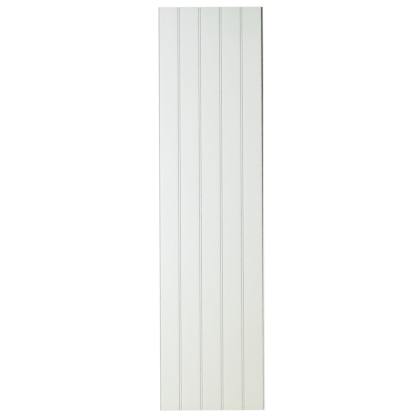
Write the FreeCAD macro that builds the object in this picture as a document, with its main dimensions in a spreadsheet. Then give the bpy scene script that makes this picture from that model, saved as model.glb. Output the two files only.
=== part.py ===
import FreeCAD, Part
import math
import os

import Sketcher
from FreeCAD import Vector

# Beadboard panel: one moulded fibreboard sheet, five boards wide.
# It lies on its back with its finished face up. X runs across the boards, with the tongue on the +X edge.
# Y runs along the boards, and Z goes from the back at 0 up to the face.
# The origin is on the back, under the middle of the panel with its tongue. All sizes are millimetres.

# Driving sizes, each with its name, its value and what it is
SIZES = (
    ("panel_length", 2400.0, "length of the boards"),
    ("panel_thickness", 12.0, "back to face"),
    ("board_pitch", 124.0, "bead centre to bead centre"),
    ("groove_side_pitch", 122.0, "last bead centre to the joint on the groove side"),
    ("tongue_side_pitch", 119.0, "last bead centre to the joint on the tongue side, which has no bead"),
    ("board_count", 5, "boards across the panel"),
    ("bead_width", 7.6, "width of a bead between its two quirks"),
    ("bead_rise", 0.9, "height of a bead's crown above its sides"),
    ("bead_inset", 0.2, "crown of a bead below the face, out of the sander's reach"),
    ("quirk_width", 2.4, "width of a quirk, the narrow channel beside a bead"),
    ("quirk_wall", 2.1, "straight side of a quirk, from the bead's side to the round floor"),
    ("board_arris", 0.8, "radius of a board's corner beside a quirk"),
    ("joint_arris", 0.7, "radius of the face's corner at either joint"),
    ("tongue_length", 10.0, "how far the tongue stands out of the +X edge"),
    ("tongue_thickness", 4.0, "thickness of the tongue, a third of the stock's"),
    ("tongue_nose", 0.8, "radius of the tongue's two outer corners"),
    ("groove_clearance", 0.15, "air above and below a tongue in its groove"),
    ("groove_end_gap", 0.6, "air between the end of a tongue and the bottom of its groove"),
    ("back_relief", 0.5, "setback of the groove's back lip, so that the faces close first"),
    ("cutter_overrun", 2.0, "how far a cut starts outside the stock"),
)

# Places and sizes that follow from the driving ones
BEAD_ROW_WIDTH = "((sizes.board_count - 2) * sizes.board_pitch)"
COVER_WIDTH = f"({BEAD_ROW_WIDTH} + sizes.groove_side_pitch + sizes.tongue_side_pitch)"
LEFT_JOINT = f"(-({COVER_WIDTH} + sizes.tongue_length) / 2)"
RIGHT_JOINT = f"({LEFT_JOINT} + {COVER_WIDTH})"
BEAD_SIDE_DEPTH = "(sizes.bead_inset + sizes.bead_rise)"
BEAD_RADIUS = "(((sizes.bead_width / 2) ^ 2 + sizes.bead_rise ^ 2) / (2 * sizes.bead_rise))"
QUIRK_RADIUS = "(sizes.quirk_width / 2)"
QUIRK_CENTRE_DEPTH = f"({BEAD_SIDE_DEPTH} + sizes.quirk_wall)"
QUIRK_DEPTH = f"({QUIRK_CENTRE_DEPTH} + {QUIRK_RADIUS})"
# The tongue is centred in the stock that the quirks leave, so the lips over and under it are equal.
TONGUE_HEIGHT = f"((sizes.panel_thickness - {QUIRK_DEPTH}) / 2)"
TONGUE_HALF = "(sizes.tongue_thickness / 2)"
GROOVE_HALF = f"({TONGUE_HALF} + sizes.groove_clearance)"
GROOVE_DEPTH = "(sizes.tongue_length + sizes.groove_end_gap)"

FAULTS = ("Invalid", "Error")
ON_EDGE = 0.01

doc = FreeCAD.newDocument("beadboard")


def make_sheet():
    """Keeps the driving sizes in the document, one named cell each."""
    table = doc.addObject("Spreadsheet::Sheet", "sizes")
    for row, (alias, size, meaning) in enumerate(SIZES, start=1):
        table.set(f"A{row}", meaning)
        table.set(f"B{row}", str(size))
        table.setAlias(f"B{row}", alias)
    doc.recompute()
    return table


sheet = make_sheet()


def now(expression):
    """Works out an expression of the sheet's sizes as a plain number."""
    return float(sheet.evalExpression(expression))


def origin_feature(body, role):
    """Finds one of a body's own origin planes or axes by its role."""
    return next(f for f in body.Origin.OriginFeatures if f.Role == role)


def section_sketch(body, name, across, up):
    """Starts a sketch in the panel's cross section, with its own origin moved across and up."""
    sketch = body.newObject("Sketcher::SketchObject", name)
    sketch.AttachmentSupport = [(origin_feature(body, "XZ_Plane"), "")]
    sketch.MapMode = "FlatFace"
    sketch.setExpression("AttachmentOffset.Base.x", across)
    sketch.setExpression("AttachmentOffset.Base.y", up)
    return sketch


class Outline:
    """A closed outline of lines and arcs in a sketch. Each corner is a pair of expressions, across and up."""

    # A place on an edge goes by its number in this row.
    PLACES = ("whole", "start", "end", "centre")

    def __init__(self, sketch, first):
        self.sketch = sketch
        self.corner = first
        self.edges = []

    @staticmethod
    def point(corner):
        return Vector(now(corner[0]), now(corner[1]), 0)

    def hold(self, edge, place, corner, kinds=("DistanceX", "DistanceY")):
        """Dimensions one place on an edge from the sketch's origin."""
        for kind, expression in zip(("DistanceX", "DistanceY"), corner):
            if kind in kinds:
                size = Sketcher.Constraint(kind, edge, self.PLACES.index(place), now(expression))
                index = self.sketch.addConstraint(size)
                self.sketch.setExpression(f"Constraints[{index}]", expression)

    def line_to(self, corner):
        """Adds a straight edge up to a corner."""
        line = Part.LineSegment(self.point(self.corner), self.point(corner))
        edge = self.sketch.addGeometry(line)
        self.edges.append((edge, "start", "end"))
        self.hold(edge, "end", corner)
        self.corner = corner

    def arc_to(self, corner, centre, clockwise):
        """Adds a round edge about a centre up to a corner."""
        middle = self.point(centre)
        spokes = [self.point(self.corner) - middle, self.point(corner) - middle]
        chord = spokes[1] - spokes[0]
        near, far = "start", "end"
        if clockwise:
            spokes.reverse()
            near, far = far, near
        angles = [math.atan2(spoke.y, spoke.x) for spoke in spokes]
        circle = Part.Circle(middle, Vector(0, 0, 1), spokes[0].Length)
        edge = self.sketch.addGeometry(Part.ArcOfCircle(circle, *angles))
        self.edges.append((edge, near, far))
        self.hold(edge, far, corner)
        across_chord = "DistanceY" if abs(chord.x) > abs(chord.y) else "DistanceX"
        self.hold(edge, "centre", centre, kinds=(across_chord,))
        self.corner = corner

    def close(self):
        """Joins each edge to the next, and the last to the first."""
        for index, (edge, _, far) in enumerate(self.edges):
            following, near, _ = self.edges[(index + 1) % len(self.edges)]
            ends = (edge, self.PLACES.index(far), following, self.PLACES.index(near))
            self.sketch.addConstraint(Sketcher.Constraint("Coincident", *ends))
        doc.recompute()


def minus(expression):
    return f"(-({expression}))"


def make_stock(body):
    """The sheet before moulding: a plain rectangle as wide as the five boards cover."""
    sketch = section_sketch(body, "stock_section", LEFT_JOINT, "0")
    outline = Outline(sketch, ("0", "0"))
    outline.line_to((COVER_WIDTH, "0"))
    outline.line_to((COVER_WIDTH, "sizes.panel_thickness"))
    outline.line_to(("0", "sizes.panel_thickness"))
    outline.line_to(("0", "0"))
    outline.close()
    return make_pad(body, "stock", sketch)


def make_tongue(body):
    """The tongue on the +X edge, with rounded outer corners that find the next panel's groove."""
    sketch = section_sketch(body, "tongue_section", RIGHT_JOINT, TONGUE_HEIGHT)
    nose = "(sizes.tongue_length - sizes.tongue_nose)"
    cheek = f"({TONGUE_HALF} - sizes.tongue_nose)"
    outline = Outline(sketch, ("0", minus(TONGUE_HALF)))
    outline.line_to((nose, minus(TONGUE_HALF)))
    outline.arc_to(("sizes.tongue_length", minus(cheek)), (nose, minus(cheek)), clockwise=False)
    outline.line_to(("sizes.tongue_length", cheek))
    outline.arc_to((nose, TONGUE_HALF), (nose, cheek), clockwise=False)
    outline.line_to(("0", TONGUE_HALF))
    outline.line_to(("0", minus(TONGUE_HALF)))
    outline.close()
    return make_pad(body, "tongue", sketch)


def cut_groove(body):
    """The groove in the -X edge that takes a tongue, with its back lip set back."""
    sketch = section_sketch(body, "groove_section", LEFT_JOINT, TONGUE_HEIGHT)
    outside = minus("sizes.cutter_overrun")
    below = f"(-{TONGUE_HEIGHT} - sizes.cutter_overrun)"
    outline = Outline(sketch, (outside, below))
    outline.line_to(("sizes.back_relief", below))
    outline.line_to(("sizes.back_relief", minus(GROOVE_HALF)))
    outline.line_to((GROOVE_DEPTH, minus(GROOVE_HALF)))
    outline.line_to((GROOVE_DEPTH, GROOVE_HALF))
    outline.line_to((outside, GROOVE_HALF))
    outline.line_to((outside, below))
    outline.close()
    return make_pocket(body, "groove", sketch)


def bead_sketch(body, name, across):
    """The section of the cutter that leaves a bead between two quirks."""
    sketch = section_sketch(body, name, across, "sizes.panel_thickness")
    side = "(sizes.bead_width / 2)"
    reach = f"({side} + sizes.quirk_width)"
    board = f"({reach} + sizes.board_arris)"
    quirk = f"({side} + {QUIRK_RADIUS})"
    above = "sizes.cutter_overrun"
    arris = "(-sizes.board_arris)"
    floor = minus(QUIRK_CENTRE_DEPTH)
    shoulder = minus(BEAD_SIDE_DEPTH)
    crown_centre = f"(-sizes.bead_inset - {BEAD_RADIUS})"

    outline = Outline(sketch, (minus(board), above))
    outline.line_to((minus(board), "0"))
    outline.arc_to((minus(reach), arris), (minus(board), arris), clockwise=True)
    outline.line_to((minus(reach), floor))
    outline.arc_to((minus(side), floor), (minus(quirk), floor), clockwise=False)
    outline.line_to((minus(side), shoulder))
    outline.arc_to((side, shoulder), ("0", crown_centre), clockwise=True)
    outline.line_to((side, floor))
    outline.arc_to((reach, floor), (quirk, floor), clockwise=False)
    outline.line_to((reach, arris))
    outline.arc_to((board, "0"), (board, arris), clockwise=True)
    outline.line_to((board, above))
    outline.line_to((minus(board), above))
    outline.close()

    return sketch


def cut_inner_beads(body):
    """A bead between two quirks on every line where two boards of the panel seem to meet."""
    sketch = bead_sketch(body, "bead_cutter", f"({LEFT_JOINT} + sizes.groove_side_pitch)")
    first = make_pocket(body, "first_bead", sketch)
    return make_row(body, "bead_row", first, BEAD_ROW_WIDTH, "sizes.board_count - 1")


def cut_joint_bead(body):
    """Half a bead with its quirk along the groove side. It hides the joint with the next panel."""
    sketch = bead_sketch(body, "joint_cutter", LEFT_JOINT)
    return make_pocket(body, "joint_bead", sketch)


def ease_joints(body):
    """Takes the sharp corner off the face along both joints: off the half bead and off the plain shoulder."""
    crown = (now(LEFT_JOINT), now("sizes.panel_thickness - sizes.bead_inset"))
    shoulder = (now(RIGHT_JOINT), now("sizes.panel_thickness"))
    solid = body.Tip
    corners = [
        f"Edge{number}"
        for number, edge in enumerate(solid.Shape.Edges, start=1)
        if len(edge.Vertexes) == 2
        and any(
            all(abs(v.X - x) < ON_EDGE and abs(v.Z - z) < ON_EDGE for v in edge.Vertexes)
            for x, z in (crown, shoulder)
        )
    ]
    if len(corners) != 2:
        raise RuntimeError(f"expected one face corner at each joint, found {corners}")
    fillet = body.newObject("PartDesign::Fillet", "joint_corners")
    fillet.Base = (solid, corners)
    fillet.setExpression("Radius", "sizes.joint_arris")
    body.Tip = fillet
    doc.recompute()
    return fillet


def make_pad(body, name, sketch):
    """Runs a section along the whole panel, half each way from its middle."""
    pad = body.newObject("PartDesign::Pad", name)
    pad.Profile = sketch
    pad.SideType = "Symmetric"
    pad.setExpression("Length", "sizes.panel_length")
    doc.recompute()
    return pad


def make_pocket(body, name, sketch):
    """Cuts a section away along the whole panel, and past both of its ends."""
    pocket = body.newObject("PartDesign::Pocket", name)
    pocket.Profile = sketch
    pocket.SideType = "Symmetric"
    pocket.setExpression("Length", "sizes.panel_length + 2 * sizes.cutter_overrun")
    doc.recompute()
    return pocket


def make_row(body, name, first, width, count):
    """Repeats a cut across the panel, evenly, until the last one lies a width away from the first."""
    row = body.newObject("PartDesign::LinearPattern", name)
    row.Originals = [first]
    row.Direction = (origin_feature(body, "X_Axis"), [""])
    row.setExpression("Length", width)
    row.setExpression("Occurrences", count)
    body.Tip = row
    doc.recompute()
    return row


def report_step(step, before):
    """Prints what a step did to the volume, and stops if it did nothing."""
    volume = step.Shape.Volume
    print(f"{step.Name}: {volume / 1000:.1f} cm3")
    if abs(volume - before) < 1:
        raise RuntimeError(f"{step.Name} changed nothing")
    return volume


def make_panel():
    """The whole panel, in the order in which it is made."""
    body = doc.addObject("PartDesign::Body", "beadboard_panel")
    body.Label = "beadboard_panel"
    body.Placement = FreeCAD.Placement()
    volume = 0
    for make in (make_stock, make_tongue, cut_groove, cut_inner_beads, cut_joint_bead, ease_joints):
        volume = report_step(make(body), volume)
    return body


def check(bodies):
    """Stops before anything is written if any object failed or any solid is unsound."""
    for thing in doc.Objects:
        if any(fault in thing.State for fault in FAULTS):
            raise RuntimeError(f"{thing.Name} failed: {thing.State}")
    for body in bodies:
        if body.Shape.isNull() or not body.Shape.isValid() or len(body.Shape.Solids) != 1:
            raise RuntimeError(f"{body.Label} is not one sound solid")


def write(bodies):
    """Writes one file for each sub-part, named after it."""
    os.makedirs("parts", exist_ok=True)
    for body in bodies:
        body.Shape.exportStep(f"parts/{body.Label}.step")
        box = body.Shape.BoundBox
        print(f"{body.Label}: {box.XLength:.1f} x {box.YLength:.1f} x {box.ZLength:.1f} mm")


panel = make_panel()
doc.recompute()
check([panel])
write([panel])
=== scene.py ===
# %% [markdown]
# # A beadboard panel, painted on its face
#
# The object is one sheet of moulded fibreboard, five boards wide and a room's wall high. A cutter has run
# a round bead between two narrow channels, called quirks, along every line where two boards seem to meet.
# The face is sprayed with a satin off-white. The long edges carry a tongue and a groove that are left
# bare.
#
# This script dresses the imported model. It makes one fine mesh with the same section, gives each kind of
# surface its own finish, lays it on a pale floor and looks down on it.

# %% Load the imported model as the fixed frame
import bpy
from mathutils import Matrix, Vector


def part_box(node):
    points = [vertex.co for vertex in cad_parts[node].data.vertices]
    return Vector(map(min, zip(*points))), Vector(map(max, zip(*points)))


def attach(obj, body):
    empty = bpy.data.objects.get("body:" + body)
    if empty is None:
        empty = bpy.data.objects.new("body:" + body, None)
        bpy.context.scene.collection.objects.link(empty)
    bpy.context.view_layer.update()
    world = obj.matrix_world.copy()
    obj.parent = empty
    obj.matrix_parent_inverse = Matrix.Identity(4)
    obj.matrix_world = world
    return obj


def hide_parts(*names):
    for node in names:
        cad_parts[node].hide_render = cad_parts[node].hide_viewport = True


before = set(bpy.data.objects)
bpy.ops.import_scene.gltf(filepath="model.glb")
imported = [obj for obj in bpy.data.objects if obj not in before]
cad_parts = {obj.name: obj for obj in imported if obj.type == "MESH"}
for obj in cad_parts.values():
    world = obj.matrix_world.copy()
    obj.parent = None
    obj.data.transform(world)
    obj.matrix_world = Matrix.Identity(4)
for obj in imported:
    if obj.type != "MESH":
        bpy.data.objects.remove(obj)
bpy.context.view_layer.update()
print("frame nodes:", sorted(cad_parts))

# %% What else the script needs
import math
from collections import namedtuple

import bmesh
import bpy
from mathutils import Vector

print("Blender", bpy.app.version_string)

# %% [markdown]
# ## Sizes
#
# Everything is in metres, in the frame's own axes: X across the boards, Y along them, Z up out of the
# face. The outside sizes are read from the frame, so the dressed panel can't drift away from the packed
# one. The small sizes of the moulding are those of the cutters that shape it. They are written here in
# millimetres, once each, and all the rest is worked out from them.

# %% Read the outside sizes from the frame
MM = 0.001
NODE = "beadboard_panel"
low, high = (Vector(corner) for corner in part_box(NODE))
panel_length = high.y - low.y
panel_thickness = high.z - low.z
print(f"panel {panel_length:.3f} m long, {high.x - low.x:.4f} m wide, {panel_thickness:.4f} m thick")

# %% Name the sizes of the moulding
board_count = 5
groove_side_pitch = 122.0 * MM
tongue_side_pitch = 119.0 * MM
bead_width = 7.6 * MM
bead_rise = 0.9 * MM
bead_inset = 0.2 * MM
quirk_width = 2.4 * MM
quirk_wall = 2.1 * MM
board_arris = 0.8 * MM
joint_arris = 0.7 * MM
tongue_length = 10.0 * MM
tongue_thickness = 4.0 * MM
tongue_nose = 0.8 * MM
groove_clearance = 0.15 * MM
groove_end_gap = 0.6 * MM
back_relief = 0.5 * MM
print(f"beads {bead_width * 1000:.1f} mm wide, tongue {tongue_length * 1000:.1f} mm long")

# %% Work out where the joints and the beads are
left_joint = low.x
right_joint = high.x - tongue_length
whole_beads = board_count - 1
board_pitch = (right_joint - left_joint - groove_side_pitch - tongue_side_pitch) / (whole_beads - 1)
bead_middles = [left_joint + groove_side_pitch + bead * board_pitch for bead in range(whole_beads)]
print(f"board pitch {board_pitch * 1000:.1f} mm")

# %% Work out the heights of the section
face = high.z
bead_side_depth = bead_inset + bead_rise
bead_radius = ((bead_width / 2) ** 2 + bead_rise ** 2) / (2 * bead_rise)
quirk_radius = quirk_width / 2
quirk_centre_depth = bead_side_depth + quirk_wall
quirk_depth = quirk_centre_depth + quirk_radius
tongue_height = low.z + (panel_thickness - quirk_depth) / 2
print(f"quirks {quirk_depth * 1000:.1f} mm deep, tongue {tongue_height * 1000:.1f} mm above the back")

# %% [markdown]
# ## The section, as a walk round the panel
#
# A moulded board is an extrusion, so its shape is all in its cross section. It could be drawn as a curve
# with a bevel, but then the ends and the finishes are hard to reach. Here the section is a list of
# points, walked anticlockwise as seen from the foot. Each point also says how much of an outer corner it
# is, because paint thins on corners, and which finish the surface after it gets.

# %% Points of the section, and arcs of such points
PAINT, EDGE, END, BACK = range(4)
ARC_STEP = math.radians(12)
LEAST_ARC_STEPS = 3
Point = namedtuple("Point", "x z sharp finish")
section = []


def walk(points, finish):
    """Adds points to the section, all with one finish."""
    for x, z, sharp in points:
        section.append(Point(x, z, sharp, finish))


def plain(places):
    """Points that count as no outer corner, from pairs of x and z."""
    return [(x, z, 0.0) for x, z in places]


def arc(x, z, radius, start, end, sharpest=0.0, steps=None):
    """Goes round a centre from one angle to another, in degrees, and is sharpest half way."""
    sweep = math.radians(end - start)
    steps = steps or max(LEAST_ARC_STEPS, round(abs(sweep) / ARC_STEP))
    points = []
    for step in range(steps + 1):
        angle = math.radians(start) + sweep * step / steps
        sharp = sharpest * math.sin(math.pi * step / steps)
        points.append((x + radius * math.cos(angle), z + radius * math.sin(angle), sharp))
    return points


print("arcs turn", round(math.degrees(ARC_STEP)), "degrees a step")

# %% [markdown]
# ## The back and the tongue
#
# The back is flat. The tongue slides into the groove of the next panel, so its nose is rounded to find
# the way in. Both could be cut from a block with booleans, as a machine cuts them, but booleans leave
# long thin faces that forget their finish. Walking from corner to corner is exact and keeps it.

# %% Walk the back and the tongue
BACK_COLUMNS = 24
back_left = left_joint + back_relief
back_step = (right_joint - back_left) / BACK_COLUMNS
tongue_top = tongue_height + tongue_thickness / 2
tongue_foot = tongue_height - tongue_thickness / 2
nose_x = high.x - tongue_nose

walk(plain((back_left + back_step * column, low.z) for column in range(BACK_COLUMNS)), BACK)
walk(plain([(right_joint, low.z), (right_joint, tongue_foot)]), EDGE)
walk(arc(nose_x, tongue_foot + tongue_nose, tongue_nose, -90, 0, sharpest=1.0), EDGE)
walk(arc(nose_x, tongue_top - tongue_nose, tongue_nose, 0, 90, sharpest=1.0), EDGE)
walk(plain([(right_joint, tongue_top)]), EDGE)
print("tongue from", round(tongue_foot * 1000, 2), "to", round(tongue_top * 1000, 2), "mm")

# %% [markdown]
# ## Beads and quirks
#
# The bead is a flat round between two channels with round floors. A normal map could suggest it, but
# would cast no shadow and leave the ends straight. So one function walks over half of it, from the crown
# out to the board's flat, and every bead uses it twice. The bead beside the groove is cut in half by the
# joint. The tongue side has no bead, only a plain shoulder. The corner of the face is eased on both sides
# so that two panels close neatly.

# %% Walk over half a bead
CROWN_STEPS = 8
crown_centre = face - bead_inset - bead_radius
crown_half_angle = math.degrees(math.asin(bead_width / 2 / bead_radius))


def half_bead(middle, side, start_angle=0.0):
    """Points from the crown out to the board's flat, on the right (side 1) or the left (side -1)."""
    crown = arc(0.0, crown_centre, bead_radius, 90 - start_angle, 90 - crown_half_angle, steps=CROWN_STEPS)
    floor_x = bead_width / 2 + quirk_radius
    floor = arc(floor_x, face - quirk_centre_depth, quirk_radius, 180, 360)
    arris_x = bead_width / 2 + quirk_width + board_arris
    arris = arc(arris_x, face - board_arris, board_arris, 180, 90, sharpest=1.0)
    return [(middle + side * x, z, sharp) for x, z, sharp in crown + floor + arris]


half = half_bead(0.0, 1)
print(f"half a bead takes {len(half)} points and reaches {half[-1][0] * 1000:.2f} mm from its crown")

# %% Work out the rounded corner of the half bead beside the groove
centre_distance = bead_radius - joint_arris
joint_corner_angle = math.degrees(math.asin(joint_arris / centre_distance))
joint_corner_height = crown_centre + math.sqrt(centre_distance ** 2 - joint_arris ** 2)
joint_corner = arc(
    left_joint + joint_arris, joint_corner_height, joint_arris, 90 - joint_corner_angle, 180, sharpest=1.0
)
print(f"the corner starts {joint_corner_angle:.1f} degrees off the crown")

# %% Walk the face from the right joint to the left one
FLAT_COLUMNS = 6


def walk_flat(end):
    """The flat of a board, in a few columns so that its faces aren't all slivers."""
    start = section[-1].x
    step = (end - start) / FLAT_COLUMNS
    walk(plain((start + step * column, face) for column in range(1, FLAT_COLUMNS)), PAINT)


walk(arc(right_joint - joint_arris, face - joint_arris, joint_arris, 0, 90, sharpest=1.0), PAINT)
for middle in reversed(bead_middles):
    right_side = half_bead(middle, 1)
    walk_flat(right_side[-1][0])
    walk(reversed(right_side), PAINT)
    walk(half_bead(middle, -1)[1:], PAINT)
joint_side = half_bead(left_joint, 1, joint_corner_angle)
walk_flat(joint_side[-1][0])
walk(reversed(joint_side[1:]), PAINT)
walk(joint_corner[:-1], PAINT)
print("points so far:", len(section))

# %% [markdown]
# ## The groove
#
# The groove is a slot a little wider and deeper than the tongue, so that two panels meet at the face
# before the tongue touches its end. For the same reason the lip under it stands back by half a
# millimetre. A boolean slot would do here too, but four corners are quicker to walk than to cut.

# %% Walk the groove and come back to the start
groove_top = tongue_top + groove_clearance
groove_foot = tongue_foot - groove_clearance
groove_end_x = left_joint + tongue_length + groove_end_gap
walk(joint_corner[-1:], EDGE)
walk(plain([(left_joint, groove_top), (groove_end_x, groove_top)]), EDGE)
walk(plain([(groove_end_x, groove_foot), (back_left, groove_foot)]), EDGE)
print("the whole section has", len(section), "points")

# %% [markdown]
# ## From section to panel
#
# The section is repeated along Y as a row of rings, with a quad between each two points of each two
# rings. At both ends the last rings shrink a little over the last 0.3 mm, the way fine paper takes the
# saw's sharpness off a cut end. Then the end itself is one flat face. A bevel modifier could round the
# ends, but it would trip over the fine arcs of the quirks. Each ring's inset follows the section's own
# normals instead, so the rounding runs down into the quirks and the groove as well.

# %% Find which way is inwards at each point of the section
# At a very sharp corner the step would grow without end, so it is held to twice the inset
LEAST_MITRE = 0.5


def inward_normals():
    """For each point, the step inwards that moves both of its edges in by one."""
    places = [Vector((point.x, point.z)) for point in section]
    steps = []
    for index, here in enumerate(places):
        before = here - places[index - 1]
        after = places[(index + 1) % len(places)] - here
        left_before = Vector((-before.y, before.x)).normalized()
        left_after = Vector((-after.y, after.x)).normalized()
        middle = (left_before + left_after).normalized()
        steps.append(middle / max(LEAST_MITRE, middle.dot(left_before)))
    return steps


normals = inward_normals()
print("inward at the first point of the back:", tuple(round(v, 2) for v in normals[0]))

# %% Place the rings along the panel
END_ARRIS = 0.3 * MM
END_RING_TURNS = (90, 60, 30, 0)
RING_SPACING = 40 * MM


def ring_places():
    """Pairs of a place along Y and an inset, from the foot to the head."""
    foot = []
    for turn in END_RING_TURNS:
        along = END_ARRIS * (1 - math.sin(math.radians(turn)))
        inset = END_ARRIS * (1 - math.cos(math.radians(turn)))
        foot.append((low.y + along, inset))
    head = [(low.y + high.y - y, inset) for y, inset in reversed(foot)]
    spans = round(panel_length / RING_SPACING)
    run = panel_length - 2 * END_ARRIS
    middle = [(low.y + END_ARRIS + run * step / spans, 0.0) for step in range(1, spans)]
    return foot + middle + head


rings = ring_places()
print(len(rings), "rings")

# %% Add a ring, join two rings, and close an end
def add_ring(bm, corner_layer, y, inset):
    ring = []
    for point, normal in zip(section, normals):
        vertex = bm.verts.new((point.x + normal.x * inset, y, point.z + normal.y * inset))
        vertex[corner_layer] = point.sharp
        ring.append(vertex)
    return ring


def join_rings(bm, near, far):
    for index, point in enumerate(section):
        following = (index + 1) % len(section)
        quad = bm.faces.new((near[index], near[following], far[following], far[index]))
        quad.material_index = point.finish
        quad.smooth = True


def close_end(bm, ring):
    """One flat face, which has to know its direction before it is cut into triangles."""
    cap = bm.faces.new(ring)
    cap.material_index = END
    cap.normal_update()


print("each ring joins the next by", len(section), "quads")

# %% Build the mesh
SHARP_EDGE = math.radians(32)
QUAD_CORNERS = 4


def build_panel(name):
    mesh = bpy.data.meshes.new(name)
    bm = bmesh.new()
    corner_layer = bm.verts.layers.float.new("corner")
    rows = [add_ring(bm, corner_layer, y, inset) for y, inset in rings]
    for near, far in zip(rows, rows[1:]):
        join_rings(bm, near, far)
    close_end(bm, rows[0])
    close_end(bm, list(reversed(rows[-1])))
    bmesh.ops.triangulate(bm, faces=[side for side in bm.faces if len(side.verts) > QUAD_CORNERS])
    bmesh.ops.recalc_face_normals(bm, faces=bm.faces)
    bm.to_mesh(mesh)
    bm.free()
    mesh.set_sharp_from_angle(angle=SHARP_EDGE)
    return mesh


panel_mesh = build_panel("dressed_panel")
panel = bpy.data.objects.new("dressed_panel", panel_mesh)
bpy.context.scene.collection.objects.link(panel)
print("mesh:", len(panel_mesh.vertices), "points,", len(panel_mesh.polygons), "faces")

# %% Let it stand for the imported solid
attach(panel, "root")
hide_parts(NODE)
differences = [abs(a - b) for a, b in zip(panel.dimensions, high - low)]
print("largest difference from the solid:", round(max(differences) * 1000, 4), "mm")

# %% [markdown]
# ## Wiring nodes without a mouse
#
# A material is a net of nodes. In the editor they are dragged into place. In a script the same net reads
# better if each node is one line that names what feeds it, so this small helper makes a node, sets its
# options and connects its inputs in one call. An effect that several materials share is a node group, a
# small net of its own with named inputs and outputs. It is built once, and each material gives it its own
# values.

# %% A helper that adds and feeds nodes
NODE_SPACING = 190


class Net:
    """Adds nodes to a node tree. A value that is another node's output is linked, anything else is set."""

    def __init__(self, tree):
        self.tree = tree

    def add(self, kind, feeds=None, **options):
        node = self.tree.nodes.new(kind)
        node.location.x = NODE_SPACING * len(self.tree.nodes)
        for option, choice in options.items():
            setattr(node, option, choice)
        for socket, value in (feeds or {}).items():
            if isinstance(value, bpy.types.NodeSocket):
                self.tree.links.new(value, node.inputs[socket])
            else:
                node.inputs[socket].default_value = value
        return node

    def math(self, operation, a, b=0.0, c=0.0, clamp=False):
        feeds = {0: a, 1: b, 2: c}
        return self.add("ShaderNodeMath", feeds, operation=operation, use_clamp=clamp).outputs[0]

    def split(self, vector):
        """The outputs X, Y and Z of a vector."""
        return self.add("ShaderNodeSeparateXYZ", {0: vector}).outputs

    def stretch(self, vector, x, y, z):
        """Scales a position before a texture reads it, so that its pattern is drawn out or squeezed."""
        feeds = {0: vector, 1: (x, y, z)}
        return self.add("ShaderNodeVectorMath", feeds, operation="MULTIPLY").outputs[0]

    def noise(self, vector, scale=1.0, detail=2.0, roughness=0.5, distortion=0.0):
        feeds = {"Vector": vector, "Scale": scale, "Detail": detail}
        feeds.update({"Roughness": roughness, "Distortion": distortion})
        return self.add("ShaderNodeTexNoise", feeds).outputs["Fac"]

    def between(self, value, start, end, to_start=0.0, to_end=1.0):
        """Eases a value from start to end into another range, and holds it there beyond."""
        feeds = {"Value": value, "From Min": start, "From Max": end, "To Min": to_start, "To Max": to_end}
        return self.add("ShaderNodeMapRange", feeds, interpolation_type="SMOOTHSTEP").outputs["Result"]

    def mix(self, mask, a, b):
        """Mixes two numbers by a mask."""
        return self.add("ShaderNodeMix", {0: mask, 2: a, 3: b}).outputs[0]

    def blend(self, mask, a, b, how="MIX"):
        """Mixes two colours by a mask."""
        node = self.add("ShaderNodeMix", {0: mask, 6: a, 7: b}, data_type="RGBA", blend_type=how)
        return node.outputs[2]

    def bump(self, height, distance, normal=None):
        feeds = {"Height": height, "Distance": distance}
        if normal is not None:
            feeds["Normal"] = normal
        return self.add("ShaderNodeBump", feeds).outputs["Normal"]

    def use(self, group, feeds):
        """Puts a group in with its own values, and gives its outputs."""
        return self.add("ShaderNodeGroup", feeds, node_tree=group).outputs


print("node helpers ready")

# %% Start and finish a node group
FLOAT, VECTOR, COLOUR = "NodeSocketFloat", "NodeSocketVector", "NodeSocketColor"
# Nearly all values of a noise lie between these two
MOST_NOISE = (0.3, 0.7)


def new_group(name, inputs, outputs):
    """Inputs are name, kind and starting value; outputs are name and kind."""
    group = bpy.data.node_groups.new(name, "ShaderNodeTree")
    for title, kind, value in inputs:
        socket = group.interface.new_socket(name=title, in_out="INPUT", socket_type=kind)
        if value is not None:
            socket.default_value = value
    for title, kind in outputs:
        group.interface.new_socket(name=title, in_out="OUTPUT", socket_type=kind)
    net = Net(group)
    return group, net, net.add("NodeGroupInput").outputs


def finish_group(net, results):
    """Feeds the group's outputs by name."""
    net.add("NodeGroupOutput", results)


print("groups can be started")

# %% [markdown]
# ## The board under the paint
#
# Where there is no paint, the panel shows what it is made of: wood fibres pressed together with resin,
# with the olive tint of the moisture-resistant sort. The fibres show as fine pale hairs, with a few dark
# specks of bark. A photograph of real board would do, but it would repeat, and blur up close. Noise that
# is squeezed one way and drawn out the other does neither. The edges, the ends and the back all need it,
# so it is a node group.

# %% Group: the fibres and specks of bare board
HAIR_LENGTH = 2.6 * MM
HAIR_WIDTH = 0.3 * MM
HAIR_LEVELS = (0.56, 0.72)
SPECK_SPACING = 3.2 * MM
SPECK_LOTS = (0.72, 0.95)
SPECK_EDGE = (0.08, 0.2)
CLOUDS_PER_METRE = 26.0


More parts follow.
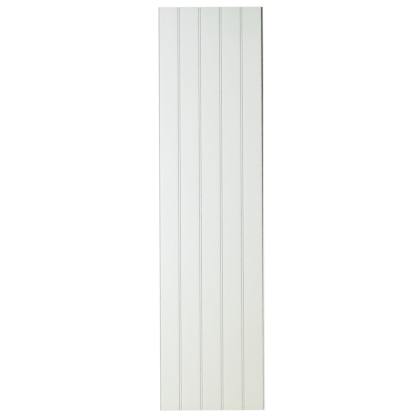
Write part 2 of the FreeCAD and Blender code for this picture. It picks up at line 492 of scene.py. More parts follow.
def make_fibre_group():
    """Hairs and Specks are 1 where they lie. Clouds are soft patches that wander about one half."""
    group, net, given = new_group(
        "board fibres",
        [("Position", VECTOR, None)],
        [("Hairs", FLOAT), ("Specks", FLOAT), ("Clouds", FLOAT)],
    )
    position = given["Position"]
    long, short = 1 / HAIR_LENGTH, 1 / HAIR_WIDTH
    along = net.noise(net.stretch(position, short, long, short), roughness=0.55, distortion=0.5)
    across = net.noise(net.stretch(position, long, short, short), roughness=0.55, distortion=0.5)
    hairs = net.between(net.math("MAXIMUM", along, across), *HAIR_LEVELS)
    cells = net.add("ShaderNodeTexVoronoi", {"Vector": position, "Scale": 1 / SPECK_SPACING})
    lot = net.add("ShaderNodeSeparateColor", {"Color": cells.outputs["Color"]}).outputs["Red"]
    chosen = net.between(lot, *SPECK_LOTS)
    spot = net.between(cells.outputs["Distance"], *SPECK_EDGE, 1.0, 0.0)
    specks = net.math("MULTIPLY", chosen, spot)
    clouds = net.noise(position, CLOUDS_PER_METRE, detail=3.0, roughness=0.6)
    finish_group(net, {"Hairs": hairs, "Specks": specks, "Clouds": clouds})
    return group


fibre_group = make_fibre_group()
print("group:", fibre_group.name)

# %% [markdown]
# ## Pressed harder at its faces
#
# The press squeezes the mat of fibres most where it touches it. So a cut edge is darker and smoother
# along both faces of the board, and paler and woollier in its middle. Three painted stripes would look
# ruled. Here the height in the board, nudged by a little noise, says how dense it is, and colour and
# roughness follow.

# %% Group: how hard the board is pressed
WANDERS_PER_METRE = 120.0
SKIN_WANDER = 0.24
SKIN_LEVELS = (0.3, 1.0)


def make_density_group():
    """Skin is 1 at both faces of the board and 0 in its middle."""
    group, net, given = new_group("board density", [("Position", VECTOR, None)], [("Skin", FLOAT)])
    position = given["Position"]
    height = net.split(position)["Z"]
    share = net.math("MULTIPLY_ADD", height, 2 / panel_thickness, -1.0)
    noise = net.noise(position, WANDERS_PER_METRE, detail=3.0)
    wander = net.math("MULTIPLY_ADD", noise, SKIN_WANDER, -SKIN_WANDER / 2)
    reach = net.math("ADD", net.math("ABSOLUTE", share), wander)
    finish_group(net, {"Skin": net.between(reach, *SKIN_LEVELS)})
    return group


density_group = make_density_group()
print("group:", density_group.name)

# %% [markdown]
# ## The marks of a turning tool
#
# A cutter or a saw meets the work once for each tooth, so it leaves low waves at an even pitch. They
# could be modelled, but they are only about a twentieth of a millimetre high. A sine of the tool's travel
# gives their height for a bump, and noise makes them drift and fade as real ones do.

# %% Group: the regular marks of a turning cutter or saw
MARK_DRIFT = 2.5
DRIFTS_PER_METRE = 35.0
FADES_PER_METRE = 14.0
FADE_LEVELS = (0.35, 0.65)
FAINTEST_MARK = 0.25


def make_tool_mark_group():
    """Travel is how far the tool has gone at a point, and Pitch is how far it goes between marks."""
    group, net, given = new_group(
        "tool marks",
        [("Position", VECTOR, None), ("Travel", FLOAT, 0.0), ("Pitch", FLOAT, 0.002)],
        [("Height", FLOAT)],
    )
    position = given["Position"]
    turns = net.math("DIVIDE", given["Travel"], given["Pitch"])
    drift = net.math("MULTIPLY", net.noise(position, DRIFTS_PER_METRE), MARK_DRIFT)
    wave = net.math("SINE", net.math("MULTIPLY_ADD", turns, math.tau, drift))
    fade = net.noise(position, FADES_PER_METRE, detail=1.0)
    strength = net.between(fade, *FADE_LEVELS, FAINTEST_MARK, 1.0)
    height = net.math("MULTIPLY_ADD", net.math("MULTIPLY", wave, strength), 0.5, 0.5)
    finish_group(net, {"Height": height})
    return group


tool_mark_group = make_tool_mark_group()
print("group:", tool_mark_group.name)

# %% [markdown]
# ## The paint
#
# The face is sprayed at the factory with a satin, slightly cool off-white. Sprayed paint is never one
# flat colour. It is a touch yellower towards the foot. Towards the tongue side it is painted a touch
# darker and yellower, a painted shade tint of the side away from the lamp. At the head, most on the
# tongue side, it is painted darker and greener, as painted shade where the lamp's light falls off. One
# colour would look like plastic, and an image would fix the sheet's size, so each change is a mask worked
# out from the place on the panel. The skin has the shallow ripple that painters call orange peel. It is
# only hundredths of a millimetre high, so it is bump. A little paint also drifts past the edge of the
# face, so the paint is a group that the bare surfaces use as well.

# %% The tone of the sprayed paint
FRESH_PAINT = (0.787, 0.802, 0.799, 1.0)
MELLOW_PAINT = (0.775, 0.785, 0.705, 1.0)
FILM_SHADE = (0.972, 0.976, 0.98, 1.0)
# Painted shade: the head of the face, most on the tongue side, is darkened and greened where the lamp's
# light falls off
PAINTED_HEAD_SHADE = (0.915, 0.955, 0.925, 1.0)
# Each change of tone: where it starts and ends, in metres, and how strong it is at both places
MELLOW_TOWARDS_FOOT = (0.05, -1.4, 0.0, 0.79)
MELLOW_SHARE_ACROSS = (-0.3, 0.3, 0.65, 1.1)
# Painted shade tint: the side away from the lamp is made a touch darker and yellower
SHADE_TINT_TOWARDS_TONGUE = (-0.28, 0.36, 0.0, 0.22)
# Where the painted head shade runs, along the panel and across it
HEAD_SHADE_ALONG = (0.86, 1.24, 0.0, 1.0)
HEAD_SHADE_ACROSS = (-0.3, 0.25, 0.05, 1.0)
# Spray passes and film thickness: how many patches a metre holds along X, Y and Z, and how strong they are
PASSES_PER_METRE = (1.6, 5.5, 1.0)
PASS_STRENGTH = 0.3
FILMS_PER_METRE = (9.0, 3.0, 1.0)
FILM_STRENGTH = 0.5


def paint_tone(net, position):
    """The colour of the sprayed paint with its painted shade at the head and towards the tongue side, and
    the uneven film that also changes its gloss.
    """
    place = net.split(position)
    foot = net.between(place["Y"], *MELLOW_TOWARDS_FOOT)
    foot_share = net.between(place["X"], *MELLOW_SHARE_ACROSS)
    # Painted shade tint towards the tongue side, away from the lamp
    tongue_side = net.between(place["X"], *SHADE_TINT_TOWARDS_TONGUE)
    yellow_share = net.math("MULTIPLY_ADD", foot, foot_share, tongue_side)
    passes = net.noise(net.stretch(position, *PASSES_PER_METRE))
    uneven = net.math("MULTIPLY_ADD", passes, PASS_STRENGTH, -PASS_STRENGTH / 2)
    yellow_share = net.math("ADD", yellow_share, uneven, clamp=True)
    tone = net.blend(yellow_share, FRESH_PAINT, MELLOW_PAINT)
    film = net.between(net.noise(net.stretch(position, *FILMS_PER_METRE), detail=3.0), *MOST_NOISE)
    tone = net.blend(net.math("MULTIPLY", film, FILM_STRENGTH), tone, FILM_SHADE, "MULTIPLY")
    # Painted shade at the head, most on the tongue side, where the lamp's light falls off
    near_head = net.between(place["Y"], *HEAD_SHADE_ALONG)
    near_tongue = net.between(place["X"], *HEAD_SHADE_ACROSS)
    thin_coat_and_shade = net.math("MULTIPLY", near_head, near_tongue)
    return net.blend(thin_coat_and_shade, tone, PAINTED_HEAD_SHADE, "MULTIPLY"), film


print("paint: fresh", FRESH_PAINT[:3], "mellow", MELLOW_PAINT[:3])

# %% Group: the tone, the gloss and the ripple of the sprayed paint
RIPPLE_SPACING = 4.5 * MM
GRIT_SPACING = 0.7 * MM
GRIT_SHARE = 0.2
SATIN_ROUGHNESS = 0.38
GRIT_ROUGHNESS = 0.1
FILM_ROUGHNESS = 0.07


def make_paint_group():
    group, net, given = new_group(
        "sprayed paint",
        [("Position", VECTOR, None)],
        [("Color", COLOUR), ("Roughness", FLOAT), ("Height", FLOAT)],
    )
    position = given["Position"]
    tone, film = paint_tone(net, position)
    ripple = net.noise(position, 1 / RIPPLE_SPACING, detail=1.0)
    grit = net.noise(position, 1 / GRIT_SPACING)
    height = net.math("MULTIPLY_ADD", grit, GRIT_SHARE, net.math("MULTIPLY", ripple, 1 - GRIT_SHARE))
    gritty = net.math("MULTIPLY_ADD", grit, GRIT_ROUGHNESS, SATIN_ROUGHNESS)
    gloss = net.math("MULTIPLY_ADD", film, FILM_ROUGHNESS, gritty)
    finish_group(net, {"Color": tone, "Roughness": gloss, "Height": height})
    return group


paint_group = make_paint_group()
print("group:", paint_group.name)

# %% [markdown]
# ## Paint mist
#
# Past the sprayed face the paint thins out to single droplets. A smooth fade would look like an airbrush,
# and a hard rim like masking tape. The group takes how much of the surface is covered and breaks it up
# into droplets, most of all where half is covered, and not where nothing or everything is.

# %% Group: paint mist that has drifted onto a bare surface
DROPS_PER_METRE = 1500.0
DROP_CONTRAST = 3.0
# Cover times bare is a quarter where half is covered, so four times that is 1 there
ROOM_GAIN = 4.0


def make_mist_group():
    """Mist is 1 where droplets lie, and Cover is the share of the surface that they hide."""
    group, net, given = new_group(
        "paint mist",
        [("Position", VECTOR, None), ("Cover", FLOAT, 0.5)],
        [("Mist", FLOAT)],
    )
    position, cover = given["Position"], given["Cover"]
    noise = net.noise(position, DROPS_PER_METRE)
    drops = net.math("MULTIPLY_ADD", noise, DROP_CONTRAST, -DROP_CONTRAST / 2)
    bare = net.math("SUBTRACT", 1.0, cover)
    room = net.math("MULTIPLY", net.math("MULTIPLY", cover, bare), ROOM_GAIN)
    change = net.math("MULTIPLY", drops, room)
    finish_group(net, {"Mist": net.math("ADD", cover, change, clamp=True)})
    return group


mist_group = make_mist_group()
print("group:", mist_group.name)

# %% [markdown]
# ## Starting a material
#
# Every finish here is one Principled shader, which stands for satin paint and for bare board alike, so
# one function starts them all. Patterns could be placed by unwrapping the mesh, but so long an extrusion
# would stretch them. The object's own metres need no unwrapping, and keep every pattern at its real size.

# %% Clear a net, and start a material with its shader
PAINT_SPECULAR = 0.5
BOARD_SPECULAR = 0.3


def empty_net(owner):
    """Clears the nodes of a material or a world, so that new ones can be wired."""
    owner.use_nodes = True
    owner.node_tree.nodes.clear()
    return Net(owner.node_tree)


def start_material(name, specular):
    """A material with its Principled shader, ready to be fed."""
    material = bpy.data.materials.new(name)
    net = empty_net(material)
    position = net.add("ShaderNodeTexCoord").outputs["Object"]
    shader = net.add("ShaderNodeBsdfPrincipled", {"Specular IOR Level": specular})
    net.add("ShaderNodeOutputMaterial", {"Surface": shader.outputs[0]})
    return material, net, position, shader


def feed(net, shader, colour, roughness, normal):
    for socket, value in (("Base Color", colour), ("Roughness", roughness), ("Normal", normal)):
        net.tree.links.new(value, shader.inputs[socket])


print("materials can be started")

# %% [markdown]
# ## The painted face
#
# Up close the sprayed face shows three more things. The crown of each bead and a band just right of the
# bead are painted a little lighter, as painted highlights of the lamp on the left. The floors of the
# quirks are painted darker, as painted shade on top of their real shadow and as dust, which no cloth
# reaches, and that is paler and yellower towards the foot. And paint draws back from sharp corners, so it
# is thin there. All that could be painted on an image by hand, but here each follows from the moulding:
# the first from the bead pitch, the second from the depth below the face, and the third from the sharpness
# that each point of the section carries.

# %% Painted highlights on each bead's crown and just right of the bead
HIGHLIGHT_BAND_START = 8.0 * MM
HIGHLIGHT_BAND_END = 12.5 * MM
# Painted highlight: a band just right of each bead is made lighter, where the lamp from the left catches
# the board's corner
PAINTED_BAND_HIGHLIGHT = (1.05, 1.05, 1.05, 1.0)
CROWN_HIGHLIGHT_START = 1.0 * MM
# Painted highlight: the crown of each bead is made lighter
PAINTED_CROWN_HIGHLIGHT = (1.08, 1.08, 1.08, 1.0)


def add_painted_highlights(net, place, colour):
    pitches = net.math("MULTIPLY_ADD", place["X"], 1 / board_pitch, -bead_middles[0] / board_pitch)
    past_bead = net.math("MULTIPLY", net.math("FRACT", pitches), board_pitch)
    rising = net.between(past_bead, bead_width / 2 + quirk_width, HIGHLIGHT_BAND_START)
    falling = net.between(past_bead, HIGHLIGHT_BAND_START, HIGHLIGHT_BAND_END, 1.0, 0.0)
    colour = net.blend(net.math("MULTIPLY", rising, falling), colour, PAINTED_BAND_HIGHLIGHT, "MULTIPLY")
    off_bead = net.math("SUBTRACT", place["X"], bead_middles[0])
    from_bead = net.math("PINGPONG", off_bead, board_pitch / 2)
    crown = net.between(from_bead, CROWN_HIGHLIGHT_START, bead_width / 2, 1.0, 0.0)
    return net.blend(crown, colour, PAINTED_CROWN_HIGHLIGHT, "MULTIPLY")


print("a fuller coat on the crowns and", round(HIGHLIGHT_BAND_START * 1000, 1), "mm right of the beads' middles")

# %% Painted shade and dust in the quirks, and thin paint on the corners
# Painted shade and dust: the quirk floors are darkened on top of their real shadow, and yellower towards
# the foot
QUIRK_SHADE_AND_DUST = (0.44, 0.438, 0.414, 1.0)
YELLOW_QUIRK_SHADE_AND_DUST = (0.57, 0.56, 0.455, 1.0)
YELLOW_QUIRK_SHADE_REACH = (-0.3, -1.2)
QUIRK_SHADE_PATCHES_PER_METRE = (700.0, 90.0, 700.0)
QUIRK_SHADE_SHARES = (0.6, 1.0)
THIN_PER_METRE = (260.0, 30.0, 260.0)
THIN_LEVELS = (0.5, 0.72)
THIN_MOST = 0.22
THIN_PAINT = (0.60, 0.57, 0.44, 1.0)


def add_quirk_shade_and_dust(net, position, place, floor, colour):
    """Darkens the floors of the quirks with painted shade and dust, in uneven patches that are drawn out
    along them.
    """
    uneven = net.noise(net.stretch(position, *QUIRK_SHADE_PATCHES_PER_METRE), detail=3.0)
    shade_and_dust = net.math("MULTIPLY", floor, net.between(uneven, *MOST_NOISE, *QUIRK_SHADE_SHARES))
    shade_and_dust_colour = net.blend(net.between(place["Y"], *YELLOW_QUIRK_SHADE_REACH), QUIRK_SHADE_AND_DUST, YELLOW_QUIRK_SHADE_AND_DUST)
    return net.blend(shade_and_dust, colour, shade_and_dust_colour)


def thin_corners(net, position, colour):
    """Lets the board's tint through on corners, here and there."""
    corner = net.add("ShaderNodeAttribute", attribute_name="corner").outputs["Fac"]
    patches = net.noise(net.stretch(position, *THIN_PER_METRE), detail=4.0)
    thin_coat_and_shade = net.math("MULTIPLY", corner, net.between(patches, *THIN_LEVELS, 0.0, THIN_MOST))
    return net.blend(thin_coat_and_shade, colour, THIN_PAINT)


print("dust: clean", QUIRK_SHADE_AND_DUST[:3], "yellow", YELLOW_QUIRK_SHADE_AND_DUST[:3])

# %% Material: the painted face
RIPPLE_HEIGHT = 0.045 * MM
DUST_ROUGHNESS = 0.14


def make_face_paint():
    material, net, position, shader = start_material("satin face paint", PAINT_SPECULAR)
    place = net.split(position)
    paint = net.use(paint_group, {"Position": position})
    floor = net.between(place["Z"], face - bead_side_depth, face - quirk_depth)
    colour = add_painted_highlights(net, place, paint["Color"])
    # Painted shade and dust in the quirk floors
    colour = add_quirk_shade_and_dust(net, position, place, floor, colour)
    colour = thin_corners(net, position, colour)
    roughness = net.math("MULTIPLY_ADD", floor, DUST_ROUGHNESS, paint["Roughness"])
    feed(net, shader, colour, roughness, net.bump(paint["Height"], RIPPLE_HEIGHT))
    return material


face_paint = make_face_paint()
print("material:", face_paint.name)

# %% [markdown]
# ## Bare board
#
# The long edges, the ends and the back are the same board, and differ only by the tool that made them.
# Written out three times, the board would drift apart with every change. So one function gives its colour
# and roughness for any density, and each of the three materials adds its own marks and paint mist.

# %% The colour and the roughness of bare board
DENSE_BOARD = (0.100, 0.096, 0.072, 1.0)
LOOSE_BOARD = (0.165, 0.156, 0.115, 1.0)
CLOUD_SHADE = (0.70, 0.68, 0.62, 1.0)
PALE_HAIR = (0.27, 0.255, 0.19, 1.0)
BARK = (0.045, 0.034, 0.018, 1.0)
CLOUD_STRENGTH = 0.35
HAIR_STRENGTH = 0.42
SPECK_STRENGTH = 0.7
LOOSE_ROUGHNESS = 0.9
DENSE_ROUGHNESS = 0.74


def bare_board(net, position, skin):
    """Colour, roughness and hairs of bare board, denser where skin is 1."""
    fibres = net.use(fibre_group, {"Position": position})
    colour = net.blend(skin, LOOSE_BOARD, DENSE_BOARD)
    shade = net.between(fibres["Clouds"], *MOST_NOISE, 0.0, CLOUD_STRENGTH)
    colour = net.blend(shade, colour, CLOUD_SHADE, "MULTIPLY")
    colour = net.blend(net.math("MULTIPLY", fibres["Hairs"], HAIR_STRENGTH), colour, PALE_HAIR)
    colour = net.blend(net.math("MULTIPLY", fibres["Specks"], SPECK_STRENGTH), colour, BARK)
    roughness = net.math("MULTIPLY_ADD", skin, DENSE_ROUGHNESS - LOOSE_ROUGHNESS, LOOSE_ROUGHNESS)
    return colour, roughness, fibres["Hairs"]


print("bare board: dense", DENSE_BOARD[:3], "loose", LOOSE_BOARD[:3])

# %% [markdown]
# ## The long edges
#
# A moulding cutter shaped the tongue and the groove, and left fine steps across its travel. The paint of
# the face laps raggedly over the lips. The tongue also caught the white primer that was sprayed before
# the paint, but the shoulder kept a strip beside it bare. That dark strip is as wide as the tongue at the
# head, where the board is darkest, and runs out to nearly nothing towards the foot. Two small spots on it
# are darker still. A painted image could show this, but masks worked out from the place on the board stay
# sharp at any distance.

# %% How far the paint laps over the lips
LAP_HEIGHT = 8.8 * MM
LAP_FADE = 1.5 * MM
LAP_RAGGEDNESS = 4.0 * MM
LAP_RAGS_PER_METRE = 90.0


def paint_lap(net, position, place):
    """1 where the paint of the face has run over a lip, with a ragged lower rim."""
    rags = net.noise(position, LAP_RAGS_PER_METRE, detail=4.0, roughness=0.6)
    ragged = net.math("MULTIPLY_ADD", rags, LAP_RAGGEDNESS, -LAP_RAGGEDNESS / 2)
    height = net.math("ADD", place["Z"], ragged)
    return net.between(height, LAP_HEIGHT - LAP_FADE, LAP_HEIGHT + LAP_FADE)


print("paint laps down to", round((LAP_HEIGHT - LAP_FADE) * 1000, 1), "mm above the back")

# %% Where the primer reached the tongue
SPRAY_SHADOW_MIDDLE = 5.4 * MM
SPRAY_SHADOW_GROWTH = 5.4 * MM
SPRAY_SHADOW_CURVE = 1.4 * MM
SPRAY_WAVER = 2.0 * MM
WAVERS_PER_METRE = 9.0
SPRAY_EDGE = 0.8 * MM
# The spray came from above: how far up a surface has to face, as the height of its normal, to catch it
SPRAYED_FACING = (-0.8, 0.1)


def primer_cover(net, position, place):
    """1 past the strip that the shoulder shadowed from the spray, and 0 on the tongue's underside."""
    growth = net.math("MULTIPLY_ADD", place["Y"], SPRAY_SHADOW_CURVE, SPRAY_SHADOW_GROWTH)
    shadow = net.math("MULTIPLY_ADD", place["Y"], growth, SPRAY_SHADOW_MIDDLE)
    waver = net.noise(net.stretch(position, 0.0, WAVERS_PER_METRE, 0.0), detail=3.0)
    shadow = net.math("ADD", shadow, net.math("MULTIPLY_ADD", waver, SPRAY_WAVER, -SPRAY_WAVER / 2))
    past = net.math("SUBTRACT", net.math("SUBTRACT", place["X"], right_joint), shadow)
    sprayed = net.between(past, -SPRAY_EDGE, SPRAY_EDGE)
    normal = net.add("ShaderNodeNewGeometry").outputs["Normal"]
    facing = net.split(normal)["Z"]
    return net.math("MULTIPLY", sprayed, net.between(facing, *SPRAYED_FACING))


print("at mid length the bare strip is", round(SPRAY_SHADOW_MIDDLE * 1000, 1), "mm wide")

# %% The darker board near the head, and the two spots
DARK_TINT = (0.33, 0.33, 0.26, 1.0)
DARK_TOWARDS_HEAD = (0.3, 1.1, 0.0, 0.75)
DARK_SPOTS = ((0.883, 0.75), (0.066, 0.5))
SPOT_RIM = 9 * MM
SPOT_CORE = 2 * MM


def darken(net, place, colour):
    """Darkens bare board towards the head, and at each spot, given by its place and its strength."""
    colour = net.blend(net.between(place["Y"], *DARK_TOWARDS_HEAD), colour, DARK_TINT, "MULTIPLY")
    for spot, strength in DARK_SPOTS:
        away = net.math("ABSOLUTE", net.math("SUBTRACT", place["Y"], spot))
        colour = net.blend(net.between(away, SPOT_RIM, SPOT_CORE, 0.0, strength), colour, BARK)
    return colour


print(len(DARK_SPOTS), "dark spots")

# %% Material: the moulded long edges
WHITE_PRIMER = (0.925, 0.925, 0.895, 1.0)
FEED_PITCH = 1.4 * MM
CUTTER_STEP = 0.05 * MM
EDGE_FUZZ = 0.04 * MM


def make_edge_board():
    material, net, position, shader = start_material("bare moulded edge", BOARD_SPECULAR)
    place = net.split(position)
    skin = net.use(density_group, {"Position": position})["Skin"]
    colour, roughness, hairs = bare_board(net, position, skin)
    colour = darken(net, place, colour)
    lap = paint_lap(net, position, place)
    cover = net.math("MAXIMUM", primer_cover(net, position, place), lap)
    mist = net.use(mist_group, {"Position": position, "Cover": cover})["Mist"]
    paint = net.use(paint_group, {"Position": position})
    coat = net.blend(lap, WHITE_PRIMER, paint["Color"])
    colour = net.blend(mist, colour, coat)
    roughness = net.mix(mist, roughness, paint["Roughness"])
    cut = {"Position": position, "Travel": place["Y"], "Pitch": FEED_PITCH}
    marks = net.use(tool_mark_group, cut)["Height"]
    fuzz = net.bump(hairs, EDGE_FUZZ)
    feed(net, shader, colour, roughness, net.bump(marks, CUTTER_STEP, normal=fuzz))
    return material


edge_board = make_edge_board()
print("material:", edge_board.name)

# %% [markdown]
# ## The sawn ends
#
# A circular saw cuts the panel to length. Its marks are arcs, and its teeth scorch the board, most where
# it is dense. A little spray has drifted over the edge of the face. Rings about one centre would be
# simplest, but the blade moves on as it cuts. So each point's travel is its place across the panel plus
# the bow of the blade at its height, and the group of tool marks does the rest.

# %% Material: the sawn ends
SAW_RADIUS = 0.15
SAW_AXIS_HEIGHT = -SAW_RADIUS / 2
SAW_PITCH = 2.3 * MM
SAW_STEP = 0.06 * MM
SCORCH = (0.55, 0.47, 0.36, 1.0)
SCORCH_LOOSE = 0.12
SCORCH_MORE_IF_DENSE = 0.2
END_SPRAY_FROM = 10.4 * MM
END_SPRAY_MOST = 0.7
END_SPRAY_RAGGEDNESS = 3.0 * MM
END_RAGS_PER_METRE = 300.0
END_FUZZ = 0.05 * MM


def make_end_board():
    material, net, position, shader = start_material("sawn end", BOARD_SPECULAR)
    place = net.split(position)
    skin = net.use(density_group, {"Position": position})["Skin"]
    colour, roughness, hairs = bare_board(net, position, skin)
    rise = net.math("SUBTRACT", place["Z"], SAW_AXIS_HEIGHT)
    bow = net.math("SQRT", net.math("SUBTRACT", SAW_RADIUS ** 2, net.math("MULTIPLY", rise, rise)))
    cut = {"Position": position, "Travel": net.math("ADD", place["X"], bow), "Pitch": SAW_PITCH}
    marks = net.use(tool_mark_group, cut)["Height"]
    strength = net.math("MULTIPLY_ADD", skin, SCORCH_MORE_IF_DENSE, SCORCH_LOOSE)
    colour = net.blend(net.math("MULTIPLY", marks, strength), colour, SCORCH, "MULTIPLY")
    rags = net.noise(position, END_RAGS_PER_METRE, detail=3.0, roughness=0.6)
    ragged = net.math("MULTIPLY_ADD", rags, END_SPRAY_RAGGEDNESS, -END_SPRAY_RAGGEDNESS / 2)
    height = net.math("ADD", place["Z"], ragged)
    cover = net.between(height, END_SPRAY_FROM, panel_thickness, 0.0, END_SPRAY_MOST)
    mist = net.use(mist_group, {"Position": position, "Cover": cover})["Mist"]
    paint = net.use(paint_group, {"Position": position})
    colour = net.blend(mist, colour, paint["Color"])
    fuzz = net.bump(hairs, END_FUZZ)
    feed(net, shader, colour, roughness, net.bump(marks, SAW_STEP, normal=fuzz))
    return material


end_board = make_end_board()
print("material:", end_board.name)

# %% [markdown]
# ## The sanded back
#
# The back lies against the wall, so it is left bare. A wide belt sands it along its length, which leaves
# faint pale streaks and scratches a fiftieth of a millimetre deep. Some paint mist has crept round the
# long edges, in patches. A picture of such streaks would show its seams on a sheet this long. Noise that
# is squeezed across the panel and drawn out along it has none.

# %% Material: the sanded back
BELT_STREAK_WIDTH = 0.8 * MM
BELT_STREAK_LENGTH = 220 * MM
STREAK_LEVELS = (0.5, 0.75)
STREAK_STRENGTH = 0.3
BACK_CLOUDS_PER_METRE = (5.0, 1.7, 1.0)
BACK_SKIN = (0.2, 0.8)
BACK_MIST_WIDTH = 9 * MM
BACK_MIST_PAST_EDGE = 5 * MM
BACK_MIST_MOST = 0.5
BACK_PATCHES_PER_METRE = 30.0
BACK_PATCH_LEVELS = (0.35, 0.65)
SCRATCH_DEPTH = 0.02 * MM
BACK_FUZZ = 0.02 * MM


def back_mist_cover(net, position, place):
    """The share of the back that mist hides: most at the long edges, and only in patches."""
    half = (right_joint - left_joint) / 2
    off_middle = net.math("SUBTRACT", place["X"], (left_joint + right_joint) / 2)
    reach = net.math("ABSOLUTE", off_middle)
    cover = net.between(reach, half - BACK_MIST_WIDTH, half + BACK_MIST_PAST_EDGE, 0.0, BACK_MIST_MOST)
    patches = net.between(net.noise(position, BACK_PATCHES_PER_METRE, detail=3.0), *BACK_PATCH_LEVELS)
    return net.math("MULTIPLY", cover, patches)


def make_back_board():
    material, net, position, shader = start_material("sanded back", BOARD_SPECULAR)
    place = net.split(position)
    clouds = net.noise(net.stretch(position, *BACK_CLOUDS_PER_METRE), detail=4.0, roughness=0.6)
    colour, roughness, hairs = bare_board(net, position, net.between(clouds, *MOST_NOISE, *BACK_SKIN))
    across, along = 1 / BELT_STREAK_WIDTH, 1 / BELT_STREAK_LENGTH
    streaks = net.noise(net.stretch(position, across, along, 1.0), detail=3.0, roughness=0.7)
    colour = net.blend(net.between(streaks, *STREAK_LEVELS, 0.0, STREAK_STRENGTH), colour, PALE_HAIR)
    cover = back_mist_cover(net, position, place)
    mist = net.use(mist_group, {"Position": position, "Cover": cover})["Mist"]
    paint = net.use(paint_group, {"Position": position})
    colour = net.blend(mist, colour, paint["Color"])
    scratches = net.bump(streaks, SCRATCH_DEPTH)
    feed(net, shader, colour, roughness, net.bump(hairs, BACK_FUZZ, normal=scratches))
    return material


back_board = make_back_board()
print("material:", back_board.name)

# %% Dress the mesh, in the order of its finishes
finishes = {PAINT: face_paint, EDGE: edge_board, END: end_board, BACK: back_board}
for number in sorted(finishes):
    panel_mesh.materials.append(finishes[number])
print([material.name for material in panel_mesh.materials])

# %% [markdown]
# ## The floor
#
# The panel lies on pale paper. Strong light could turn the paper white, but it would bleach the panel
# too. So the floor shades itself only a little and glows for the rest, which Light Path's camera ray
# allows without adding light to the panel. That bit of shading lets the panel darken the floor where it
# touches. Seen from below the floor is clear, and the light of the world passes through it, so that the
# back can be looked at.

# %% A ray that is seen straight, in a mirror or through glass
def seen_ray(net):
    path = net.add("ShaderNodeLightPath")
    seen = net.math("MAXIMUM", path.outputs["Is Camera Ray"], path.outputs["Is Glossy Ray"])
    return net.math("MAXIMUM", seen, path.outputs["Is Transmission Ray"])


print("white is shown to seen rays only")

# %% The floor's material
FLOOR_SHADE = (0.25, 0.25, 0.25, 1.0)
FLOOR_GLOW = 0.82


def make_floor_material():
    material = bpy.data.materials.new("studio floor")
    net = empty_net(material)
    shade = net.add("ShaderNodeBsdfDiffuse", {"Color": FLOOR_SHADE})
    glow = net.add("ShaderNodeEmission", {"Strength": FLOOR_GLOW})
    shown = net.add("ShaderNodeAddShader", {0: shade.outputs[0], 1: glow.outputs[0]})
    clear = net.add("ShaderNodeBsdfTransparent")
    top = net.add("ShaderNodeMixShader", {0: seen_ray(net), 1: clear.outputs[0], 2: shown.outputs[0]})
    below = net.add("ShaderNodeNewGeometry").outputs["Backfacing"]
    both = net.add("ShaderNodeMixShader", {0: below, 1: top.outputs[0], 2: clear.outputs[0]})
    net.add("ShaderNodeOutputMaterial", {"Surface": both.outputs[0]})
    return material


floor_material = make_floor_material()
print("material:", floor_material.name)

# %% The floor, a hair under the panel
FLOOR_HALF = 12.0
FLOOR_GAP = 0.2 * MM
floor_signs = [(-1, -1), (1, -1), (1, 1), (-1, 1)]
floor_corners = [(x * FLOOR_HALF, y * FLOOR_HALF, -FLOOR_GAP) for x, y in floor_signs]

floor_mesh = bpy.data.meshes.new("studio_floor")
floor_mesh.from_pydata(floor_corners, [], [(0, 1, 2, 3)])
floor_mesh.materials.append(floor_material)
studio_floor = bpy.data.objects.new("studio_floor", floor_mesh)
bpy.context.scene.collection.objects.link(studio_floor)
print("floor", 2 * FLOOR_HALF, "m wide")

# %% [markdown]
# ## The even light from all round
#
# In a studio most light comes back from pale walls. Many lamps could stand for them, but the world does
# it with one number. As light it is a soft level from all round, under the lamp's. To seen rays it is
# plain white, so that the backdrop and the reflections in the satin paint are white as well.

# %% The world
AMBIENT = 0.63
AMBIENT_TINT = (1.0, 1.0, 0.985, 1.0)
WHITE = (1.0, 1.0, 1.0, 1.0)


def make_world():
    studio = bpy.data.worlds.new("studio")
    net = empty_net(studio)
    around = net.add("ShaderNodeBackground", {"Color": AMBIENT_TINT, "Strength": AMBIENT})
    white = net.add("ShaderNodeBackground", {"Color": WHITE, "Strength": 1.0})
    shown = net.add("ShaderNodeMixShader", {0: seen_ray(net), 1: around.outputs[0], 2: white.outputs[0]})
    net.add("ShaderNodeOutputWorld", {"Surface": shown.outputs[0]})
    return studio


bpy.context.scene.world = make_world()
print("ambient level", AMBIENT)

# %% [markdown]
# ## The lamp
#
# One large soft lamp hangs high on the left, so every quirk and every rounded corner reads and the face
# dims a little to the right. It is high enough to light the outer half of the tongue, past the shadow of
# the shoulder. A sun would be simpler, but its shadows have hard rims and its light never dims across the
# panel. An area lamp of P watts that faces a white sheet d metres away shows it at a level of P over the
# square of pi times d, so the power follows from the level that the lamp should add.

# %% The soft lamp on the left
LAMP_PLACE = Vector((-2.07, -0.1, 2.95))
LAMP_LONG_SIDE = 2.4
LAMP_SHORT_SIDE = 1.2
LAMP_SHARE = 0.40


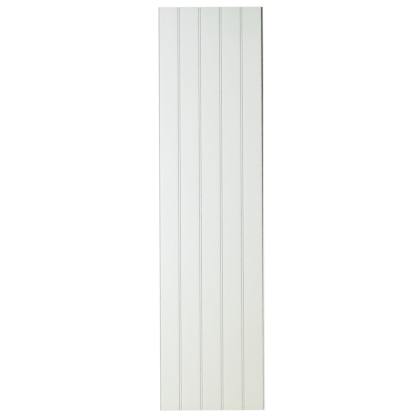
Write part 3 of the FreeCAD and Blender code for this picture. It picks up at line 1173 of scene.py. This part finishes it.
def make_lamp():
    """A long lamp that runs along the boards and adds its share of level 1 at the middle of the panel."""
    lamp = bpy.data.lights.new("soft_lamp", "AREA")
    lamp.shape = "RECTANGLE"
    lamp.size = LAMP_LONG_SIDE
    lamp.size_y = LAMP_SHORT_SIDE
    slant = LAMP_PLACE.z / LAMP_PLACE.length
    lamp.energy = LAMP_SHARE * (math.pi * LAMP_PLACE.length) ** 2 / slant
    piece = bpy.data.objects.new("soft_lamp", lamp)
    piece.location = LAMP_PLACE
    piece.rotation_euler = LAMP_PLACE.to_track_quat("Z", "Y").to_euler()
    bpy.context.scene.collection.objects.link(piece)
    return lamp


print("lamp power", round(make_lamp().energy, 1), "W")

# %% [markdown]
# ## The camera
#
# The photograph looks straight down on the panel from far away, with next to no perspective, and the
# panel's head leans a little to the left. An orthographic camera would have no perspective at all, and a
# long lens far up has the little that is needed. The photograph's frame is 415 pixels square, and the
# boards' middle lies a few pixels to the right of the frame's middle and just below it, so the camera
# stands that much to the other side. It also stands a touch nearer the foot and looks a touch towards the
# head, which makes the foot a little larger.

# %% Work out where the camera stands
FRAME_PIXELS = 415
VIEW_WIDTH = 2.4688
BOARDS_MIDDLE_PIXEL = (210.74, 208.2)
LENS = 120.0
SENSOR = 36.0
LEAN = math.radians(0.85)

pixel = VIEW_WIDTH / FRAME_PIXELS
boards_middle = Vector(((left_joint + right_joint) / 2, 0.0, face))
right_by = (BOARDS_MIDDLE_PIXEL[0] - FRAME_PIXELS / 2) * pixel
down_by = (BOARDS_MIDDLE_PIXEL[1] - FRAME_PIXELS / 2) * pixel
target = boards_middle + Vector((-right_by, down_by, 0.0))
distance = VIEW_WIDTH * LENS / SENSOR
stand = target + Vector((0.0, -math.sin(LEAN), math.cos(LEAN))) * distance
print(f"one pixel is {pixel * 1000:.2f} mm, camera {distance:.2f} m away")

# %% Set up the camera
ROLL = math.radians(-0.287)

camera_data = bpy.data.cameras.new("above")
camera_data.lens = LENS
camera_data.sensor_width = SENSOR
camera = bpy.data.objects.new("above", camera_data)
camera.location = stand
camera.rotation_euler = (LEAN, 0.0, ROLL)
bpy.context.scene.collection.objects.link(camera)
bpy.context.scene.camera = camera
bpy.context.scene.view_settings.view_transform = "Standard"
print("camera at", tuple(round(v, 3) for v in camera.location), "sees to", camera_data.clip_end, "m")
